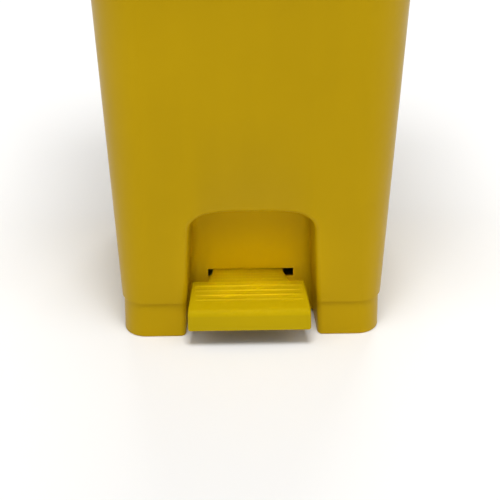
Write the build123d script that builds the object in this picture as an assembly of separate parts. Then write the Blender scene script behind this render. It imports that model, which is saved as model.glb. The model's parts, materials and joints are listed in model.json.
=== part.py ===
from build123d import *
import os
from math import atan, cos, degrees, radians, sin

# Rectangular pedal bin, moulded plastic, about 50 litres. Millimetres, +Z up, front towards -Y.
# The origin is on the floor, under the centre of the bin.

# ---- tub: a vertical base band, then walls that widen upwards ----
WALL = 3.0
BAND_HALF_X = 151.0
BAND_HALF_Y = 145.0
BAND_CORNER = 25.0
BAND_HEIGHT = 48.0
STEP = 2.3
TAPER = 0.0625                    # widening of each wall per mm of height
TAPER_DEG = degrees(atan(TAPER))
RIM_Z = 560.0
FLOOR_UNDER = 69.0                # raised floor, with the mechanism below it
FLOOR_TOP = FLOOR_UNDER + WALL
FLOOR_FILLET = 10.0
FLANGE = 11.0                     # rim flange, turned down at its edge
FLANGE_THICK = 3.5
FLANGE_DROP = 14.0
RIM_CORNER = BAND_CORNER + STEP + TAPER * (RIM_Z - BAND_HEIGHT)

# ---- foot recess in the front ----
RECESS_HALF_FLOOR = 78.7          # half-width at the floor, at the front face
RECESS_NARROWING = 0.039          # half-width lost per mm of height
RECESS_TOP = 169.5
RECESS_CORNER = 20.0
RECESS_BACK_Y = -84.0
RECESS_DRAFT = 0.08               # inward draft per mm of depth
RECESS_BACK_FILLET = 12.0
RECESS_TOOL_START = (-215.0, -6.0)    # y and z where the cutting solid starts, clear of the tub
OPENING_FILLET = 7.0
FOOT_FILLET = 1.6                 # bottom edge of the tub, all the way round
SCOOP_TOP = 304.0                 # shallow arch above the recess, blended into the wall
SCOOP_BOTTOM = 150.0
SCOOP_DEPTH = 13.0                # at the top of the recess
SCOOP_HALF_WIDTH = 72.0
SCOOP_PROUD = 0.12                # how far the arch's surface starts outside the wall
SLOT_HALF_X = 51.0
SLOT_BOTTOM = 44.5
SLOT_TOP = 55.6

# ---- rod channel in the rear wall ----
CHANNEL_HALF_X = 16.0
CHANNEL_DEPTH = 26.0
CHANNEL_BOTTOM = 52.0

# ---- pedal and its axle ----
AXLE_Y = -62.0
AXLE_Z = 50.0
AXLE_R = 3.0
HUB_R = 5.4
RUNNING = 0.06                    # radial clearance of a turning fit
PEDAL_SHIFT = -3.4                # the pedal sits against its left bush
HUB_HALF = 48.0
NECK_HALF = 41.75
NECK_FRONT_HALF = 48.5            # the neck flares towards the plate
NECK_THICK = 6.0
PLATE_BACK_Y = -116.0
PLATE_FRONT_Y = -170.0
PLATE_BACK_HALF = 67.0
PLATE_FRONT_HALF = 73.0
PLATE_SKIN = 3.0
PLATE_BACK_DEPTH = 10.6           # height of the plate's rear edge
PLATE_NOSE_R = 8.0
RIB_START = 5.7                   # first ridge, from the plate's back edge
RIB_PITCH = 8.15
RIB_COUNT = 4
RIB_R = 3.5                       # rounded ridges: rods sunk into the surface
RIB_SUNK = 2.9
PLATE_BACK_Z = 57.6
PLATE_FRONT_Z = 49.2
APRON_BOTTOM = 24.5
APRON_DEPTH = 14.0                # front to back, at its lower edge
NECK_TOP = 54.6
NECK_RIB_COUNT = 3
NECK_RIB_PITCH = 7.0
NECK_RIB_R = 2.6
NECK_RIB_SUNK = 2.3
PEDAL_TRAVEL_DEG = 9.8

# ---- lever, rod and lid hinge ----
LEVER_ARM = 195.0
LEVER_MID_DEG = -TAPER_DEG        # the rod leans back with the wall, and so does the lever half way
LEVER_REST_DEG = LEVER_MID_DEG - PEDAL_TRAVEL_DEG / 2
LEVER_THICK = 3.0
ROD_R = 2.5
ROD_X = 8.0
ROD_BEND = 5.0
ROD_LEG = 8.0
LID_TRAVEL_DEG = 75.0
CRANK_OFFSET = 22.8               # hinge axis behind the rod's line
HINGE_Z = 570.0
HINGE_PIN_R = 3.0
KNUCKLE_R = 7.5
EAR_R = 8.0
LUG_SLOT_HALF = 3.5
LUG_SLOT_INNER = 22.5
LUG_SLOT_OUTER = 28.5
LUG_THICK = 6.0

# ---- lid ----
LID_SKIN = 2.8
LID_SKIRT_Z = 545.0
LID_HALF_X = 202.0
LID_CORNER = 74.0
LID_SHOULDER_Z = 591.0
LID_SHOULDER_FILLET = 12.0
LID_TAPER_DEG = 5.0
LID_CROWN_INSET = 24.0            # the middle of the lid rises in a soft crown
LID_CROWN_CORNER = 52.0
LID_CROWN_TAPER_DEG = 58.0
LID_CROWN_FILLET = 20.0
LID_TOP_Z = 606.0
LID_REAR_Z = 562.5                # the skirt stops above the rim flange at the back
LID_REAR_RISE_Y = (116.0, 134.0)  # its lower edge rises between these

# ---- channel cover, rod guides and their screws ----
COVER_HALF_X = 28.0
COVER_THICK = 2.2
COVER_CORNER = 6.0
COVER_BOTTOM = CHANNEL_BOTTOM + 4.0
COVER_TOP = 540.0
COVER_SCREW_X = 22.5
COVER_SCREW_Z = (100.0, 300.0, 500.0)
GUIDE_Z = (112.0, 478.0)
GUIDE_HEIGHT = 20.0
GUIDE_DEPTH = 18.0
GUIDE_SEAT = 6.0                  # the screw heads are sunk to this distance from the channel's back
GUIDE_SCREW_X = -7.0
GUIDE_PLAY = 0.1                  # radial clearance of the rod in its guides
BOSS_R = 4.5
BOSS_LENGTH = 10.0
PILOT_R = 1.5
PILOT_LENGTH = 8.0
SCREW_HEAD_R = 3.6
SCREW_HEAD_H = 2.2

# ---- under the floor: axle brackets, axle, bushes, ribs ----
BRACKET_X = (54.0, 58.0)
BRACKET_BACK_Y = -50.0
BRACKET_BOTTOM = 40.0
BUSH_R = 5.0
BUSH_FLANGE_R = 7.5
BUSH_FLANGE = 2.0
AXLE_HALF = 66.0
AXLE_CLIP_X = 60.4
FLOOR_RIB_X = 75.0
FLOOR_RIB_DEPTH = 16.0

# ---- pedal's tail and the lever screwed to it ----
TAIL_BACK_Y = -20.0
TAIL_X = (-18.0, 24.0)
TAIL_Z = (47.0, 53.0)
LEVER_FRONT_Y = -52.0
LEVER_SCREW_X = 12.0
LEVER_SCREW_Y = (-44.0, -28.0)
LEVER_SCREW_R = 1.7
LEVER_EYE_R = 7.5
LEVER_EYE_PLAY = 0.3
LEVER_EYE_LENGTH = 2.6            # the eye is oblong, because the rod moves straight and the lever swings

# ---- hinge row, from the middle outwards, and lid fittings ----
KNUCKLE_X = (43.5, 57.5)
EAR_X = ((36.0, 43.0), (58.0, 65.0))
NOTCH_X = ((35.0, 44.0), (57.0, 70.0))    # gaps in the lid's rear wall for the ears and the pin's clips
HINGE_PIN_HALF = 70.0
HINGE_CLIP_X = 65.4
BUMPER_PLACES = ((192.3, -50.0), (110.0, -186.6))
BUMPER_R = 3.4
BUMPER_STEM_R = 1.6
BUMPER_POST_R = 4.5
BUMPER_HEIGHT = 4.0

# ---- bag ring ----
RING_DEPTH = 24.0
RING_GAP = 1.5
RING_THICK = 2.5
RING_LIP = 2.0


def save(shape, name):
    export_step(shape, f"parts/{name}.step")


def slab(half_x, half_y, corner, z, height, taper=0.0):
    """Rounded rectangle standing on z, widening upwards by the taper angle."""
    sketch = Plane.XY.offset(z) * RectangleRounded(2 * half_x, 2 * half_y, corner)
    return extrude(sketch, amount=height, taper=-taper)


def sides(pair):
    """The two X spans, left and right, of a feature whose right-hand span is pair."""
    return ((-pair[1], -pair[0]), pair)


def block(x0, x1, y0, y1, z0, z1):
    return Pos((x0 + x1) / 2, (y0 + y1) / 2, (z0 + z1) / 2) * Box(x1 - x0, y1 - y0, z1 - z0)


def cylinder_x(x0, x1, y, z, radius):
    return Pos((x0 + x1) / 2, y, z) * Rot(0, 90, 0) * Cylinder(radius, x1 - x0)


def cylinder_y(x, y0, y1, z, radius):
    return Pos(x, (y0 + y1) / 2, z) * Rot(90, 0, 0) * Cylinder(radius, y1 - y0)


def cylinder_z(x, y, z0, z1, radius):
    return Pos(x, y, (z0 + z1) / 2) * Cylinder(radius, z1 - z0)


def side_profile(points, x0, x1):
    """Outline given as (y, z) points, extruded from x0 to x1."""
    face = make_face(Polyline([(x0, y, z) for y, z in points], close=True))
    return extrude(face, amount=x1 - x0, dir=(1, 0, 0))


def wall_y(z):
    """Depth of the tub's outer front and rear wall at height z, above the band."""
    return BAND_HALF_Y + STEP + TAPER * (z - BAND_HEIGHT)


def wall_x(z):
    return BAND_HALF_X + STEP + TAPER * (z - BAND_HEIGHT)


# ---- rod line and pivots, in the plane of motion ----
ROD_DIR = Vector(0, sin(radians(TAPER_DEG)), cos(radians(TAPER_DEG)))
LEVER_DIR = Vector(0, cos(radians(LEVER_REST_DEG)), sin(radians(LEVER_REST_DEG)))
LOWER_PIVOT = Vector(0, AXLE_Y, AXLE_Z) + LEVER_DIR * LEVER_ARM
ROD_TRAVEL = 2 * LEVER_ARM * sin(radians(PEDAL_TRAVEL_DEG / 2))
ROD_BACK = Vector(0, ROD_DIR.Z, -ROD_DIR.Y)                 # square to the rod, towards the hinge
CRANK_FOOT_Z = HINGE_Z - CRANK_OFFSET * ROD_BACK.Z          # nearest point of the rod's line to the hinge
HINGE_Y = (LOWER_PIVOT.Y + (CRANK_FOOT_Z - LOWER_PIVOT.Z) * ROD_DIR.Y / ROD_DIR.Z
           + CRANK_OFFSET * ROD_BACK.Y)
HINGE = Vector(0, HINGE_Y, HINGE_Z)
LID_FRONT_Y = -(HINGE_Y + EAR_R)                            # as far in front as the ears stand behind
LID_BACK_Y = HINGE_Y - 1.3
UPPER_PIVOT = HINGE - ROD_BACK * CRANK_OFFSET - ROD_DIR * (ROD_TRAVEL / 2)
LUG_REST_DEG = TAPER_DEG - LID_TRAVEL_DEG / 2               # above the forward horizontal
LUG_DIR = Vector(0, -cos(radians(LUG_REST_DEG)), sin(radians(LUG_REST_DEG)))


def rod_y(z):
    return LOWER_PIVOT.Y + (z - LOWER_PIVOT.Z) * ROD_DIR.Y / ROD_DIR.Z


def recess_tool(grow=0.0):
    """The foot recess as a solid, made larger all round by grow."""
    start_y, low = RECESS_TOOL_START
    flare = (start_y + BAND_HALF_Y) * -RECESS_DRAFT + grow
    bottom = RECESS_HALF_FLOOR + flare - RECESS_NARROWING * low
    top_z = RECESS_TOP + flare
    top = RECESS_HALF_FLOOR + flare - RECESS_NARROWING * RECESS_TOP
    outline = Polyline([(-bottom, start_y, low), (bottom, start_y, low), (top, start_y, top_z),
                        (-top, start_y, top_z)], close=True)
    face = make_face(outline)
    corners = face.vertices().filter_by(lambda v: v.Z > 50)
    face = fillet(corners, RECESS_CORNER + flare)
    tool = extrude(face, amount=RECESS_BACK_Y + grow - start_y, dir=(0, 1, 0),
                   taper=degrees(atan(RECESS_DRAFT)))
    back = tool.faces().sort_by(Axis.Y)[-1]
    edges = back.edges().filter_by(lambda e: e.center().Z > 0)
    return fillet(edges, RECESS_BACK_FILLET + grow)


def scoop_tool(grow=0.0):
    """Soft arch above the recess: deepest at the recess, fading out upwards and to both sides."""
    rows, columns = 9, 13
    points = []
    for i in range(rows):
        z = SCOOP_BOTTOM + (SCOOP_TOP - SCOOP_BOTTOM) * i / (rows - 1)
        fade = (SCOOP_TOP - z) / (SCOOP_TOP - RECESS_TOP)
        row = []
        for j in range(columns):
            x = SCOOP_HALF_WIDTH * (2 * j / (columns - 1) - 1)
            across = (1 - (x / SCOOP_HALF_WIDTH) ** 4) ** 2
            depth = (SCOOP_DEPTH * fade ** 2 + SCOOP_PROUD) * across - SCOOP_PROUD
            row.append(Vector(x, depth + grow - wall_y(z), z))
        points.append(row)
    surface = Face.make_surface_from_array_of_points(points)
    return extrude(surface, amount=60, dir=(0, -1, 0))


def channel_tool(grow=0.0):
    """Groove that follows the rear wall, open to the back and through the rim."""
    top = RIM_Z + 2.0
    points = [(wall_y(CHANNEL_BOTTOM) - CHANNEL_DEPTH - grow, CHANNEL_BOTTOM),
              (wall_y(CHANNEL_BOTTOM) + 25, CHANNEL_BOTTOM),
              (wall_y(top) + 25, top),
              (wall_y(top) - CHANNEL_DEPTH - grow, top)]
    half = CHANNEL_HALF_X + grow
    return side_profile(points, -half, half)


def screw(head_r, head_h, shank_r, length):
    """Pan-head screw with a cross slot; the seat of the head is at z=0 and the shank points down."""
    head = Pos(0, 0, head_h / 2) * Cylinder(head_r, head_h)
    head = fillet(head.edges().sort_by(Axis.Z)[-1], head_h * 0.4)
    slot = Pos(0, 0, head_h) * (Box(head_r * 1.1, 1.0, 1.6) + Box(1.0, head_r * 1.1, 1.6))
    shank = Pos(0, 0, -length / 2) * Cylinder(shank_r, length)
    return head + shank - slot


def rear_screw(x, y, z, length):
    """Screw driven forwards into the rear wall, its head seated at depth y."""
    return Pos(x, y, z) * Rot(-90, 0, 0) * screw(SCREW_HEAD_R, SCREW_HEAD_H, PILOT_R, length)


def cover_screw_places():
    return [(x, wall_y(z), z) for z in COVER_SCREW_Z for x in (-COVER_SCREW_X, COVER_SCREW_X)]


def guide_screw_places():
    return [(GUIDE_SCREW_X, wall_y(z) - CHANNEL_DEPTH, z) for z in GUIDE_Z]


def push_on_clip(x0, y, z, bore_r):
    """Domed push-on fastener on a rod along X, from x0 towards +X."""
    cap = cylinder_x(x0, x0 + 1.2, y, z, bore_r + 3.0)
    dome = cylinder_x(x0 + 1.2, x0 + 2.4, y, z, bore_r + 1.4)
    return cap + dome - cylinder_x(x0 - 1, x0 + 3, y, z, bore_r)


def make_body_shell():
    # outside: band and upper walls are cut and rounded apart, then joined at the step
    cutter = recess_tool()
    margin = 3.0
    band = slab(BAND_HALF_X, BAND_HALF_Y, BAND_CORNER, -margin, BAND_HEIGHT + 2 * margin) - cutter
    side_edges = band.edges().filter_by(
        lambda e: abs(abs(e.center().X) - RECESS_HALF_FLOOR) < 5 and e.center().Y < -BAND_HALF_Y + 1
        and e.length > BAND_HEIGHT)
    band = fillet(side_edges, OPENING_FILLET) & slab(BAND_HALF_X, BAND_HALF_Y, BAND_CORNER, 0, BAND_HEIGHT)
    band = fillet(band.faces().sort_by(Axis.Z)[0].edges(), FOOT_FILLET)
    upper = slab(BAND_HALF_X + STEP, BAND_HALF_Y + STEP, BAND_CORNER + STEP, BAND_HEIGHT,
                 RIM_Z - BAND_HEIGHT, TAPER_DEG) - scoop_tool() - cutter
    mouth = upper.edges().filter_by(
        lambda e: e.center().Y < -135 and abs(e.center().X) < RECESS_HALF_FLOOR
        and BAND_HEIGHT + 5 < e.center().Z < RECESS_TOP + 8)
    upper = fillet(mouth, OPENING_FILLET)
    rim_z = RIM_Z - FLANGE_DROP
    rim_x, rim_y, rim_c = wall_x(RIM_Z) + FLANGE, wall_y(RIM_Z) + FLANGE, RIM_CORNER + FLANGE
    rim = slab(rim_x, rim_y, rim_c, rim_z, FLANGE_DROP)
    rim = fillet(rim.faces().sort_by(Axis.Z)[-1].edges(), 2.0)
    rim -= slab(rim_x - WALL, rim_y - WALL, rim_c - WALL, rim_z - 1, FLANGE_DROP - FLANGE_THICK + 1)
    shell = band + upper + rim

    # channel and its two rows of bosses, recess lining, scoop lining
    lining = channel_tool(WALL) + recess_tool(WALL) + scoop_tool(WALL)
    for x, y, z in cover_screw_places() + guide_screw_places():
        lining += cylinder_y(x, y - BOSS_LENGTH, y + BOSS_LENGTH, z, BOSS_R)

    inner_x, inner_y = wall_x(FLOOR_TOP) - WALL, wall_y(FLOOR_TOP) - WALL
    inner = slab(inner_x, inner_y, BAND_CORNER, FLOOR_TOP, RIM_Z - FLOOR_TOP + 2, TAPER_DEG)
    inner = fillet(inner.faces().sort_by(Axis.Z)[0].edges(), FLOOR_FILLET) - lining
    under = slab(BAND_HALF_X - WALL, BAND_HALF_Y - WALL, BAND_CORNER - WALL, -1, FLOOR_UNDER + 1)
    under -= recess_tool(WALL)
    shell = shell - inner - under - channel_tool()
    shell -= block(-SLOT_HALF_X, SLOT_HALF_X, RECESS_BACK_Y - 4, RECESS_BACK_Y + 10, SLOT_BOTTOM, SLOT_TOP)

    # axle brackets and stiffening ribs under the raised floor
    for x0, x1 in sides(BRACKET_X):
        shell += block(x0, x1, RECESS_BACK_Y + 2, BRACKET_BACK_Y, BRACKET_BOTTOM, FLOOR_UNDER + 1)
        shell -= cylinder_x(x0 - 1, x1 + 1, AXLE_Y, AXLE_Z, BUSH_R)
    for x0, x1 in sides((FLOOR_RIB_X, FLOOR_RIB_X + WALL)):
        shell += block(x0, x1, RECESS_BACK_Y + 2, BAND_HALF_Y - 1,
                       FLOOR_UNDER - FLOOR_RIB_DEPTH, FLOOR_UNDER + 1)

    # hinge ears on the rear flange
    for x0, x1 in sides(EAR_X[0]) + sides(EAR_X[1]):
        ear = cylinder_x(x0, x1, HINGE_Y, HINGE_Z, EAR_R)
        ear += block(x0, x1, HINGE_Y - EAR_R, HINGE_Y, RIM_Z - 2, HINGE_Z)
        shell += ear - cylinder_x(x0 - 1, x1 + 1, HINGE_Y, HINGE_Z, HINGE_PIN_R)

    # pilot holes for the screws
    for x, y, z in cover_screw_places() + guide_screw_places():
        shell -= cylinder_y(x, y - PILOT_LENGTH, y + PILOT_LENGTH, z, PILOT_R)
    return shell


def make_channel_cover():
    low, high = COVER_BOTTOM, COVER_TOP
    cover = side_profile([(wall_y(low), low), (wall_y(low) + COVER_THICK, low),
                          (wall_y(high) + COVER_THICK, high), (wall_y(high), high)],
                         -COVER_HALF_X, COVER_HALF_X)
    corners = cover.edges().filter_by(lambda e: abs(e.length - COVER_THICK) < 0.1)
    cover = fillet(corners, COVER_CORNER)
    for x, y, z in cover_screw_places():
        cover -= cylinder_y(x, y - 6, y + 6, z, PILOT_R + 0.4)
    return cover


def make_channel_cover_screws():
    return Compound(children=[rear_screw(x, y + COVER_THICK + 0.25, z, 9.0)
                              for x, y, z in cover_screw_places()])


def make_rod_guide(z):
    low, high = z - GUIDE_HEIGHT / 2, z + GUIDE_HEIGHT / 2
    front_low, front_high = wall_y(low) - CHANNEL_DEPTH, wall_y(high) - CHANNEL_DEPTH
    half = CHANNEL_HALF_X - 0.2
    guide = side_profile([(front_low, low), (front_low + GUIDE_DEPTH, low),
                          (front_high + GUIDE_DEPTH, high), (front_high, high)], -half, half)
    rod_line = Plane(origin=(ROD_X, rod_y(z), z), z_dir=ROD_DIR)
    guide -= rod_line * Cylinder(ROD_R + GUIDE_PLAY, 3 * GUIDE_HEIGHT)
    face_y = wall_y(z) - CHANNEL_DEPTH
    guide -= cylinder_y(GUIDE_SCREW_X, face_y + GUIDE_SEAT, face_y + 2 * GUIDE_DEPTH, z, SCREW_HEAD_R + 0.6)
    return guide - cylinder_y(GUIDE_SCREW_X, face_y - 5, face_y + GUIDE_DEPTH, z, PILOT_R + 0.2)


def make_rod_guide_screws():
    return Compound(children=[rear_screw(x, y + GUIDE_SEAT, z, 13.0) for x, y, z in guide_screw_places()])


def make_pedal():
    # stepped-on plate: a hollow wedge, open below, wider at its front
    front, back, skin = PLATE_FRONT_Y, PLATE_BACK_Y, PLATE_SKIN
    slope = (PLATE_BACK_Z - PLATE_FRONT_Z) / (back - front)

    def wedge(inset, low, round_r):
        """Side outline of the plate and its apron, with the top front corner rounded."""
        top_back = (back - inset, PLATE_BACK_Z - inset)
        top_front = (front + inset, PLATE_FRONT_Z - inset)
        points = [top_back, top_front, (front + inset - 1, low)]
        if inset:
            points += [(back - inset, low)]
        else:
            points += [(front + APRON_DEPTH, low), (back, PLATE_BACK_Z - PLATE_BACK_DEPTH)]
        face = make_face(Polyline([(-90, y, z) for y, z in points], close=True))
        nose = face.vertices().sort_by(lambda v: (v.Y - top_front[0]) ** 2 + (v.Z - top_front[1]) ** 2)[0]
        return extrude(fillet(nose, round_r), amount=180, dir=(1, 0, 0))

    def plan(inset):
        half_back, half_front = PLATE_BACK_HALF - inset, PLATE_FRONT_HALF - inset
        points = [(-half_back, back, 0), (half_back, back, 0), (half_front, front - 1.2, 0),
                  (-half_front, front - 1.2, 0)]
        return extrude(make_face(Polyline(points, close=True)), amount=80, dir=(0, 0, 1))

    plate = wedge(0, APRON_BOTTOM, PLATE_NOSE_R) & plan(0)
    lower_corners = plate.edges().filter_by(
        lambda e: abs(e.center().X) > 60 and e.center().Y < front + APRON_DEPTH and e.center().Z < 40
        and abs(e.tangent_at(0.5).X) < 0.3)
    plate = fillet(lower_corners, 2.5)
    hollow = wedge(skin, APRON_BOTTOM - 5, PLATE_NOSE_R - skin) & plan(skin)
    for x in (-36, 0, 36):
        hollow -= block(x - 1.25, x + 1.25, front - 5, back + 5, 0, 80)
    plate -= hollow
    for i in range(RIB_COUNT):
        y = back - RIB_START - i * RIB_PITCH
        half = PLATE_BACK_HALF - 4.0
        plate += cylinder_x(-half, half, y, PLATE_BACK_Z - (back - y) * slope - RIB_SUNK, RIB_R)

    # neck through the slot, hub on the axle and tail for the lever
    root_y, root_z = back - 1.5, PLATE_BACK_Z - 0.3
    bend_y = RECESS_BACK_Y - 6
    neck = side_profile([(root_y, root_z), (bend_y, NECK_TOP), (AXLE_Y, AXLE_Z + HUB_R),
                         (AXLE_Y, AXLE_Z - 1), (RECESS_BACK_Y - 2, NECK_TOP - NECK_THICK),
                         (root_y, PLATE_BACK_Z - PLATE_BACK_DEPTH)], -NECK_FRONT_HALF, NECK_FRONT_HALF)
    flare = Polyline([(-NECK_FRONT_HALF, back - 2, 0), (NECK_FRONT_HALF, back - 2, 0),
                      (NECK_HALF, RECESS_BACK_Y - 4, 0), (NECK_HALF, AXLE_Y + 10, 0),
                      (-NECK_HALF, AXLE_Y + 10, 0), (-NECK_HALF, RECESS_BACK_Y - 4, 0)], close=True)
    neck &= extrude(make_face(flare), amount=80, dir=(0, 0, 1))
    for i in range(NECK_RIB_COUNT):
        y = back + 8.0 + i * NECK_RIB_PITCH
        z = NECK_TOP + (root_z - NECK_TOP) * (bend_y - y) / (bend_y - back)
        neck += cylinder_x(-NECK_HALF, NECK_HALF, y, z - NECK_RIB_SUNK, NECK_RIB_R)
    hub = cylinder_x(-HUB_HALF, HUB_HALF, AXLE_Y, AXLE_Z, HUB_R)
    tail = side_profile([(AXLE_Y, TAIL_Z[1] + 1), (TAIL_BACK_Y, TAIL_Z[1]), (TAIL_BACK_Y, TAIL_Z[0]),
                         (AXLE_Y, TAIL_Z[0])], TAIL_X[0], TAIL_X[1])
    pedal = Pos(PEDAL_SHIFT, 0, 0) * (plate + neck + hub) + tail
    pedal -= cylinder_x(-80, 80, AXLE_Y, AXLE_Z, AXLE_R + RUNNING)
    for y in LEVER_SCREW_Y:
        pedal -= cylinder_z(LEVER_SCREW_X, y, 40, TAIL_Z[1] - 1.0, LEVER_SCREW_R)
    return pedal


def make_lift_lever():
    # folded sheet: a flange under the pedal's tail and a web on edge that runs to the rod
    half = LEVER_THICK / 2
    top = TAIL_Z[0]
    flange = block(-half, TAIL_X[1] - 1, LEVER_FRONT_Y, TAIL_BACK_Y, top - LEVER_THICK, top)
    end = LOWER_PIVOT
    across = Vector(0, -LEVER_DIR.Z, LEVER_DIR.Y) * LEVER_EYE_R
    web = side_profile([(LEVER_FRONT_Y, top), (TAIL_BACK_Y, top),
                        (end.Y + across.Y, end.Z + across.Z), (end.Y - across.Y, end.Z - across.Z),
                        (TAIL_BACK_Y, top - 17), (LEVER_FRONT_Y, top - 9)], -half, half)
    web += cylinder_x(-half, half, end.Y, end.Z, LEVER_EYE_R)
    eye = SlotCenterToCenter(LEVER_EYE_LENGTH, 2 * (ROD_R + LEVER_EYE_PLAY))
    across_x = Plane(origin=(-5, end.Y, end.Z), x_dir=LEVER_DIR, z_dir=(1, 0, 0))
    lever = flange + web - extrude(across_x * eye, amount=10)
    for y in LEVER_SCREW_Y:
        lever -= cylinder_z(LEVER_SCREW_X, y, 40, 50, LEVER_SCREW_R + 0.4)
    return lever


def make_lever_screws():
    seat = TAIL_Z[0] - LEVER_THICK
    return Compound(children=[Pos(LEVER_SCREW_X, y, seat) * Rot(180, 0, 0)
                              * screw(SCREW_HEAD_R, SCREW_HEAD_H, LEVER_SCREW_R, 7.5)
                              for y in LEVER_SCREW_Y])


def make_pedal_axle():
    return cylinder_x(-AXLE_HALF, AXLE_HALF, AXLE_Y, AXLE_Z, AXLE_R)


def make_axle_bush(side):
    """Flanged bush in a bracket: the flange faces the pedal's hub."""
    inner, outer = BRACKET_X
    bush = cylinder_x(inner - BUSH_FLANGE, inner, AXLE_Y, AXLE_Z, BUSH_FLANGE_R)
    bush += cylinder_x(inner, outer + 2, AXLE_Y, AXLE_Z, BUSH_R)
    bush -= cylinder_x(inner - 10, outer + 10, AXLE_Y, AXLE_Z, AXLE_R)
    return bush if side > 0 else mirror(bush, Plane.YZ)


def make_lift_rod():
    low = LOWER_PIVOT
    high = UPPER_PIVOT
    path = FilletPolyline((-ROD_LEG, low.Y, low.Z), (ROD_X, low.Y, low.Z), (ROD_X, high.Y, high.Z),
                          (-ROD_LEG, high.Y, high.Z), radius=ROD_BEND)
    return sweep(Plane(origin=(-ROD_LEG, low.Y, low.Z), z_dir=(1, 0, 0)) * Circle(ROD_R), path=path)


def make_rod_clip(pivot, thickness):
    """Push-on clip on a bent leg, beyond a plate of the given thickness centred on x=0."""
    x = -thickness / 2 - 0.6
    clip = push_on_clip(0, pivot.Y, pivot.Z, ROD_R)
    return Pos(x, 0, 0) * mirror(clip, Plane.YZ)


def make_lid():
    mid_y = (LID_FRONT_Y + LID_BACK_Y) / 2
    half_y = (LID_BACK_Y - LID_FRONT_Y) / 2

    def shape(inset):
        walls = slab(LID_HALF_X - inset, half_y - inset, LID_CORNER - inset, LID_SKIRT_Z,
                     LID_SHOULDER_Z - inset - LID_SKIRT_Z, -LID_TAPER_DEG)
        walls = fillet(walls.faces().sort_by(Axis.Z)[-1].edges(), LID_SHOULDER_FILLET - inset)
        crown_inset = LID_CROWN_INSET + 0.6 * inset
        base_z = LID_SHOULDER_Z - 2 - inset
        crown = slab(LID_HALF_X - crown_inset, half_y - crown_inset, LID_CROWN_CORNER - 0.6 * inset, base_z,
                     LID_TOP_Z - inset - base_z, -LID_CROWN_TAPER_DEG)
        crown = fillet(crown.faces().sort_by(Axis.Z)[-1].edges(), LID_CROWN_FILLET)
        return Pos(0, mid_y, 0) * (walls + crown)

    lid = shape(0) - shape(LID_SKIN)
    low, far = LID_SKIRT_Z - 5, 230
    start, end = LID_REAR_RISE_Y
    lid -= side_profile([(start, low), (end, LID_REAR_Z), (far, LID_REAR_Z), (far, low)], -far, far)

    # hinge knuckles, notches round the body's ears, and the lift lug
    roof = shape(0.5)
    for x0, x1 in sides(NOTCH_X[0]) + sides(NOTCH_X[1]):
        lid -= block(x0, x1, HINGE_Y - EAR_R - 3, far, LID_SKIRT_Z, HINGE_Z + EAR_R + 3)
    for x0, x1 in sides(KNUCKLE_X):
        lid += cylinder_x(x0, x1, HINGE_Y, HINGE_Z, KNUCKLE_R)
    half = LUG_THICK / 2
    tip = HINGE + LUG_DIR * 27.5
    across = Vector(0, -LUG_DIR.Z, LUG_DIR.Y).normalized() * KNUCKLE_R
    arm = side_profile([(HINGE.Y + across.Y, HINGE.Z + across.Z), (tip.Y + across.Y, tip.Z + across.Z),
                        (tip.Y - across.Y, tip.Z - across.Z), (HINGE.Y - across.Y, HINGE.Z - across.Z)],
                       -half, half)
    lug = arm + cylinder_x(-half, half, HINGE.Y, HINGE.Z, KNUCKLE_R)
    lug += cylinder_x(-half, half, tip.Y, tip.Z, KNUCKLE_R)
    lug += block(-half, half, HINGE_Y - 24, HINGE_Y - 2, HINGE_Z - 3, LID_TOP_Z) & roof
    slot = SlotCenterToCenter(LUG_SLOT_OUTER - LUG_SLOT_INNER, 2 * LUG_SLOT_HALF)
    centre = HINGE + LUG_DIR * ((LUG_SLOT_OUTER + LUG_SLOT_INNER) / 2)
    lug -= extrude(Plane(origin=(-10, centre.Y, centre.Z), x_dir=LUG_DIR, z_dir=(1, 0, 0)) * slot, amount=20)
    lid += lug
    lid -= cylinder_x(-90, 90, HINGE_Y, HINGE_Z, HINGE_PIN_R + RUNNING)

    # posts for the bumpers
    for x, y in bumper_places():
        post = cylinder_z(x, y, RIM_Z + BUMPER_HEIGHT, LID_TOP_Z, BUMPER_POST_R) & roof
        lid += post - cylinder_z(x, y, RIM_Z, RIM_Z + 2 * BUMPER_HEIGHT, BUMPER_STEM_R)
    return lid


def bumper_places():
    return [(side * x, y) for side in (-1, 1) for x, y in BUMPER_PLACES]


def make_lid_bumpers():
    top = RIM_Z + BUMPER_HEIGHT
    return Compound(children=[cylinder_z(x, y, RIM_Z + 0.2, top, BUMPER_R)
                              + cylinder_z(x, y, top, top + BUMPER_HEIGHT, BUMPER_STEM_R)
                              for x, y in bumper_places()])


def make_hinge_pin():
    return cylinder_x(-HINGE_PIN_HALF, HINGE_PIN_HALF, HINGE_Y, HINGE_Z, HINGE_PIN_R)


def make_bag_ring():
    low, high = RIM_Z - RING_DEPTH, RIM_Z + RING_LIP

    def tube(inset, z0, z1):
        return slab(wall_x(z0) - WALL - inset, wall_y(z0) - WALL - inset,
                    BAND_CORNER + TAPER * (z0 - BAND_HEIGHT) - inset, z0, z1 - z0, TAPER_DEG)

    def notch(margin):
        half = CHANNEL_HALF_X + WALL + margin
        return block(-half, half, wall_y(low) - CHANNEL_DEPTH - WALL - margin, 260, low - 5, high + 5)

    lip = slab(wall_x(RIM_Z) + 0.5, wall_y(RIM_Z) + 0.5, RIM_CORNER - 1.3, RIM_Z, RING_LIP)
    outer = (tube(RING_GAP, low, RIM_Z + 1) + lip) - notch(RING_GAP)
    inset = RING_GAP + RING_THICK
    return outer - (tube(inset, low - 2, high + 2) - notch(inset))


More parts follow.
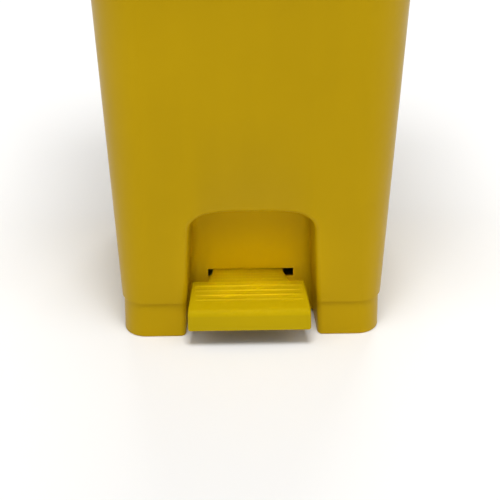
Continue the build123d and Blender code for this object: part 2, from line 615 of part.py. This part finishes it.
PARTS = {
    "body_shell": make_body_shell,
    "channel_cover": make_channel_cover,
    "channel_cover_screws": make_channel_cover_screws,
    "rod_guide_lower": lambda: make_rod_guide(GUIDE_Z[0]),
    "rod_guide_upper": lambda: make_rod_guide(GUIDE_Z[1]),
    "rod_guide_screws": make_rod_guide_screws,
    "pedal": make_pedal,
    "lift_lever": make_lift_lever,
    "lever_screws": make_lever_screws,
    "pedal_axle": make_pedal_axle,
    "axle_bush_left": lambda: make_axle_bush(-1),
    "axle_bush_right": lambda: make_axle_bush(1),
    "axle_clip_left": lambda: mirror(push_on_clip(AXLE_CLIP_X, AXLE_Y, AXLE_Z, AXLE_R), Plane.YZ),
    "axle_clip_right": lambda: push_on_clip(AXLE_CLIP_X, AXLE_Y, AXLE_Z, AXLE_R),
    "lift_rod": make_lift_rod,
    "rod_clip_lower": lambda: make_rod_clip(LOWER_PIVOT, LEVER_THICK),
    "rod_clip_upper": lambda: make_rod_clip(UPPER_PIVOT, LUG_THICK),
    "lid": make_lid,
    "lid_bumpers": make_lid_bumpers,
    "hinge_pin": make_hinge_pin,
    "hinge_clip_left": lambda: mirror(push_on_clip(HINGE_CLIP_X, HINGE_Y, HINGE_Z, HINGE_PIN_R), Plane.YZ),
    "hinge_clip_right": lambda: push_on_clip(HINGE_CLIP_X, HINGE_Y, HINGE_Z, HINGE_PIN_R),
    "bag_ring": make_bag_ring,
}

if __name__ == "__main__":
    os.makedirs("parts", exist_ok=True)
    for name, make in PARTS.items():
        save(make(), name)
        print(name)
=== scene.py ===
"""Looks, light and camera for a yellow plastic pedal bin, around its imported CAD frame. Metres, +Z up."""
import json
from math import cos, radians, sin

import bpy
from mathutils import Matrix, Vector

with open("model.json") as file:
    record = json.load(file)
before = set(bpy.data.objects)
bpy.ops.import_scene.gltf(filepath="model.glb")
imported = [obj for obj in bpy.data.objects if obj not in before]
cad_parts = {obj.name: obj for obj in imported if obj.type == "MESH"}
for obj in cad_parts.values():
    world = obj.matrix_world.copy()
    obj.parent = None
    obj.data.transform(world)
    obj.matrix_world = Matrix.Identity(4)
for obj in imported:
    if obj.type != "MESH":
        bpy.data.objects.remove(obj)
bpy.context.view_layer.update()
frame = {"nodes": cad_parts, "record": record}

nodes = frame["nodes"]

# ---- camera ----
CAMERA_AZIMUTH = -1.33
CAMERA_ELEVATION = 32.0
CAMERA_ROLL = -0.13
CAMERA_DISTANCE = 2.982
CAMERA_TARGET = Vector((-0.0022, -0.150, 0.123))
CAMERA_LENS_MM = 184.3

# ---- light ----
WORLD_STRENGTH = 0.17
WHITE = (1.0, 1.0, 1.0)
WARM = (1.0, 0.90, 0.70)
OPEN = 180.0                      # spread of a plain softbox, in degrees
NARROW = 6.0                      # spread of the two lights that reach into the foot recess
LIGHTS = (                        # name, place, aim, size, power, spread, colour
    ("key", (0.0, -1.95, 6.0), (0.0, -0.15, 0.05), (2.1, 1.8), 232.0, OPEN, WHITE),
    ("front", (0.3, -3.6, 0.95), (0.0, -0.1, 0.15), (1.6, 1.0), 16.0, OPEN, WHITE),
    ("left", (-3.0, -0.9, 3.0), (0.0, 0.0, 0.2), (3.4, 3.0), 42.0, OPEN, WHITE),
    ("right", (3.0, -0.9, 3.0), (0.0, 0.0, 0.2), (3.4, 3.0), 42.0, OPEN, WHITE),
    ("rear", (0.3, 3.0, 2.8), (0.0, 0.0, 0.3), (2.4, 1.8), 58.0, OPEN, WHITE),
    ("recess_level", (0.0, -1.3, 0.105), (0.0, 0.0, 0.105), (0.13, 0.10), 0.009, NARROW, WARM),
    ("recess_steep", (0.0, -0.608, 0.506), (0.0, -0.150, 0.106), (0.125, 0.060), 0.015, NARROW, WARM),
)
FLOOR_SIZE = 14.0
FLOOR_COLOUR = (0.90, 0.90, 0.90)

# ---- colours, linear ----
YELLOW = (0.478, 0.300, 0.0008)
YELLOW_WORN = (0.60, 0.40, 0.010)
YELLOW_SHEEN = (1.0, 0.72, 0.12)
PEDAL_YELLOW = (0.475, 0.335, 0.0010)
BLACK = (0.022, 0.022, 0.024)
ZINC = (0.56, 0.57, 0.58)
SPRING_STEEL = (0.34, 0.34, 0.35)
ZINC_TARNISH = (0.60, 0.55, 0.42)

# ---- plastic ----
PLASTIC_SPECULAR = 0.25
PLASTIC_GRAIN = 0.12              # strength of the finest bump
RUBBED_EDGE = 0.0012              # width of the paler edges
SCUFF_ROUGHNESS = 0.22            # added where the surface is scratched


class Nodes:
    """A short way to write a material's node tree."""

    def __init__(self, name):
        self.material = bpy.data.materials.new(name)
        self.material.use_nodes = True
        self.tree = self.material.node_tree
        self.tree.nodes.clear()
        self.output = self.add("ShaderNodeOutputMaterial")
        self.shader = self.add("ShaderNodeBsdfPrincipled")
        self.link(self.shader, "BSDF", self.output, "Surface")
        self.place = self.add("ShaderNodeTexCoord")

    def add(self, kind, **settings):
        node = self.tree.nodes.new(kind)
        for key, value in settings.items():
            setattr(node, key, value)
        return node

    def link(self, source, output, target, socket):
        self.tree.links.new(source.outputs[output], target.inputs[socket])

    def base_colour(self, mix):
        self.tree.links.new(mix.outputs[2], self.shader.inputs["Base Color"])

    def stretched(self, scale):
        mapping = self.add("ShaderNodeMapping")
        mapping.inputs["Scale"].default_value = scale
        self.link(self.place, "Object", mapping, "Vector")
        return mapping

    def noise(self, scale, detail=2.0, stretch=(1, 1, 1), roughness=0.5):
        texture = self.add("ShaderNodeTexNoise")
        texture.inputs["Scale"].default_value = scale
        texture.inputs["Detail"].default_value = detail
        texture.inputs["Roughness"].default_value = roughness
        self.link(self.stretched(stretch), "Vector", texture, "Vector")
        return texture

    def ramp(self, source, output, low, high, start, end):
        """Maps source from low..high to start..end, clamped."""
        node = self.add("ShaderNodeMapRange")
        node.inputs["From Min"].default_value = low
        node.inputs["From Max"].default_value = high
        node.inputs["To Min"].default_value = start
        node.inputs["To Max"].default_value = end
        self.link(source, output, node, "Value")
        return node

    def math(self, operation, a, b):
        """a and b are nodes with a Result or Value output, or plain numbers."""
        node = self.add("ShaderNodeMath", operation=operation)
        for i, value in enumerate((a, b)):
            if isinstance(value, (int, float)):
                node.inputs[i].default_value = value
            else:
                output = "Result" if "Result" in value.outputs else "Value"
                self.tree.links.new(value.outputs[output], node.inputs[i])
        return node

    def mix(self, factor, output, first, second):
        """Colour mix; first and second are colours or earlier mix nodes."""
        node = self.add("ShaderNodeMix", data_type="RGBA")
        self.tree.links.new(factor.outputs[output], node.inputs[0])
        for socket, value in ((node.inputs[6], first), (node.inputs[7], second)):
            if isinstance(value, tuple):
                socket.default_value = (*value, 1.0)
            else:
                self.tree.links.new(value.outputs[2], socket)
        return node

    def bump(self, source, output, strength, distance, below=None):
        """Bump from source, laid over an earlier bump node if one is given."""
        node = self.add("ShaderNodeBump")
        node.inputs["Strength"].default_value = strength
        node.inputs["Distance"].default_value = distance
        self.link(source, output, node, "Height")
        if below is not None:
            self.link(below, "Normal", node, "Normal")
        return node

    def edge_mask(self, radius):
        """Near 1 on convex and concave edges, 0 on open surface."""
        bevel = self.add("ShaderNodeBevel", samples=6)
        bevel.inputs["Radius"].default_value = radius
        geometry = self.add("ShaderNodeNewGeometry")
        dot = self.add("ShaderNodeVectorMath", operation="DOT_PRODUCT")
        self.tree.links.new(bevel.outputs["Normal"], dot.inputs[0])
        self.tree.links.new(geometry.outputs["Normal"], dot.inputs[1])
        return self.ramp(dot, "Value", 0.98, 0.80, 0.0, 1.0)


def scaled(colour, factor):
    return tuple(min(1.0, c * factor) for c in colour)


def moulded_plastic(name, colour, roughness, scuffs=0.5):
    """Injection-moulded yellow plastic: faint flow marks, fine grain, scuffs and rubbed edges."""
    n = Nodes(name)
    patches = n.noise(5.0, detail=3.0)
    flow = n.noise(9.0, detail=4.0, stretch=(3.0, 3.0, 0.35))
    base = n.mix(n.ramp(patches, "Fac", 0.35, 0.65, 0.0, 1.0), "Result",
                 scaled(colour, 0.965), scaled(colour, 1.02))
    base = n.mix(n.ramp(flow, "Fac", 0.42, 0.72, 0.0, 0.35), "Result", base, scaled(colour, 1.07))
    scratch_long = n.noise(60.0, detail=5.0, stretch=(1.0, 1.0, 9.0), roughness=0.7)
    scratch_wide = n.noise(45.0, detail=5.0, stretch=(9.0, 2.0, 1.0), roughness=0.7)
    scratches = n.math("MAXIMUM", n.ramp(scratch_long, "Fac", 0.66, 0.74, 0.0, 1.0),
                       n.ramp(scratch_wide, "Fac", 0.68, 0.76, 0.0, 1.0))
    where = n.ramp(n.noise(7.0, detail=2.0), "Fac", 0.50, 0.66, 0.0, scuffs)
    scratches = n.math("MULTIPLY", scratches, where)
    base = n.mix(scratches, "Value", base, YELLOW_WORN)
    edges = n.math("MULTIPLY", n.edge_mask(RUBBED_EDGE),
                   n.ramp(n.noise(120.0, detail=4.0), "Fac", 0.35, 0.70, 0.1, 0.75))
    base = n.mix(edges, "Value", base, YELLOW_WORN)
    n.base_colour(base)
    rough = n.ramp(n.noise(14.0, detail=4.0), "Fac", 0.3, 0.7, roughness - 0.035, roughness + 0.05)
    rough = n.math("ADD", rough, n.math("MULTIPLY", scratches, SCUFF_ROUGHNESS))
    n.link(rough, "Value", n.shader, "Roughness")
    waves = n.bump(n.noise(11.0, detail=1.0), "Fac", 0.25, 0.0010)
    marks = n.bump(scratches, "Value", 0.25, 0.0002, below=waves)
    fine = n.bump(n.noise(1700.0, detail=2.0), "Fac", PLASTIC_GRAIN, 0.0002, below=marks)
    n.link(fine, "Normal", n.shader, "Normal")
    n.shader.inputs["Specular IOR Level"].default_value = PLASTIC_SPECULAR
    n.shader.inputs["Specular Tint"].default_value = (*YELLOW_SHEEN, 1.0)
    return n.material


def plated_steel(name, colour, roughness):
    """Plated or bare steel: slightly cloudy, with fine handling marks."""
    n = Nodes(name)
    cloud = n.noise(90.0, detail=5.0)
    cloud = n.ramp(cloud, "Fac", 0.3, 0.7, 0.0, 1.0)
    base = n.mix(cloud, "Result", scaled(colour, 0.82), scaled(colour, 1.10))
    tint = n.ramp(n.noise(35.0, detail=2.0), "Fac", 0.50, 0.75, 0.0, 0.3)
    base = n.mix(tint, "Result", base, ZINC_TARNISH)
    n.base_colour(base)
    n.shader.inputs["Metallic"].default_value = 1.0
    marks = n.noise(400.0, detail=4.0, stretch=(1.0, 0.2, 0.2))
    rough = n.ramp(marks, "Fac", 0.3, 0.7, roughness - 0.08, roughness + 0.10)
    n.link(rough, "Result", n.shader, "Roughness")
    n.link(n.bump(marks, "Fac", 0.15, 0.0001), "Normal", n.shader, "Normal")
    return n.material


def dull_polymer(name, colour, roughness, grain_scale):
    """Nylon, rubber or matt polypropylene: a fine even grain with faint dust."""
    n = Nodes(name)
    dust = n.ramp(n.noise(30.0, detail=5.0), "Fac", 0.52, 0.80, 0.0, 0.35)
    base = n.mix(dust, "Result", colour, tuple(c * 1.8 + 0.012 for c in colour))
    n.base_colour(base)
    grain = n.noise(grain_scale, detail=3.0)
    rough = n.ramp(grain, "Fac", 0.3, 0.7, roughness - 0.06, roughness + 0.06)
    n.link(rough, "Result", n.shader, "Roughness")
    n.link(n.bump(grain, "Fac", 0.22, 0.0002), "Normal", n.shader, "Normal")
    return n.material


def set_materials():
    materials = {
        "tub_plastic": moulded_plastic("tub_plastic", YELLOW, 0.36),
        "lid_plastic": moulded_plastic("lid_plastic", YELLOW, 0.36, scuffs=0.35),
        "cover_plastic": moulded_plastic("cover_plastic", YELLOW, 0.40),
        "pedal_plastic": moulded_plastic("pedal_plastic", PEDAL_YELLOW, 0.56, scuffs=0.9),
        "ring_plastic": dull_polymer("ring_plastic", BLACK, 0.55, 900.0),
        "nylon": dull_polymer("nylon", BLACK, 0.45, 1400.0),
        "rubber": dull_polymer("rubber", scaled(BLACK, 0.8), 0.72, 700.0),
        "zinc_steel": plated_steel("zinc_steel", ZINC, 0.34),
        "spring_steel": plated_steel("spring_steel", SPRING_STEEL, 0.30),
    }
    slots = {entry["node"]: entry["material_slot"] for entry in frame["record"]["subparts"]}
    for node, piece in nodes.items():
        piece.data.materials.clear()
        piece.data.materials.append(materials[slots[node]])


def set_camera():
    azimuth, elevation, roll = (radians(a) for a in (CAMERA_AZIMUTH, CAMERA_ELEVATION, CAMERA_ROLL))
    back = Vector((sin(azimuth) * cos(elevation), -cos(azimuth) * cos(elevation), sin(elevation)))
    level = Vector((0, 0, 1)).cross(back).normalized()
    upright = back.cross(level)
    right = level * cos(roll) + upright * sin(roll)
    up = upright * cos(roll) - level * sin(roll)
    camera = bpy.data.objects.new("camera", bpy.data.cameras.new("camera"))
    camera.data.lens = CAMERA_LENS_MM
    camera.data.sensor_width = 36.0
    camera.data.clip_end = 50.0
    camera.matrix_world = Matrix.Translation(CAMERA_TARGET + back * CAMERA_DISTANCE) @ \
        Matrix((right, up, back)).transposed().to_4x4()
    bpy.context.collection.objects.link(camera)
    bpy.context.scene.camera = camera


def softbox(name, place, aim, size, power, spread, colour):
    light = bpy.data.objects.new(name, bpy.data.lights.new(name, "AREA"))
    light.data.shape = "RECTANGLE"
    light.data.size, light.data.size_y = size
    light.data.energy = power
    light.data.color = colour
    light.data.spread = radians(spread)
    light.visible_camera = False
    light.location = place
    light.rotation_euler = (Vector(place) - Vector(aim)).to_track_quat("Z", "Y").to_euler()
    bpy.context.collection.objects.link(light)


def set_light():
    world = bpy.data.worlds.new("studio")
    bpy.context.scene.world = world
    world.use_nodes = True
    background = world.node_tree.nodes["Background"]
    background.inputs["Color"].default_value = (*WHITE, 1.0)
    background.inputs["Strength"].default_value = WORLD_STRENGTH
    for light in LIGHTS:
        softbox(*light)
    bpy.context.scene.view_settings.view_transform = "Standard"


def set_floor():
    n = Nodes("floor")
    shade = n.ramp(n.noise(3.0), "Fac", 0.3, 0.7, 0.0, 1.0)
    base = n.mix(shade, "Result", scaled(FLOOR_COLOUR, 0.99), FLOOR_COLOUR)
    n.base_colour(base)
    n.shader.inputs["Roughness"].default_value = 0.8
    bpy.ops.mesh.primitive_plane_add(size=FLOOR_SIZE)
    floor = bpy.context.object
    floor.name = "floor"
    floor.data.materials.append(n.material)


set_materials()
set_camera()
set_light()
set_floor()
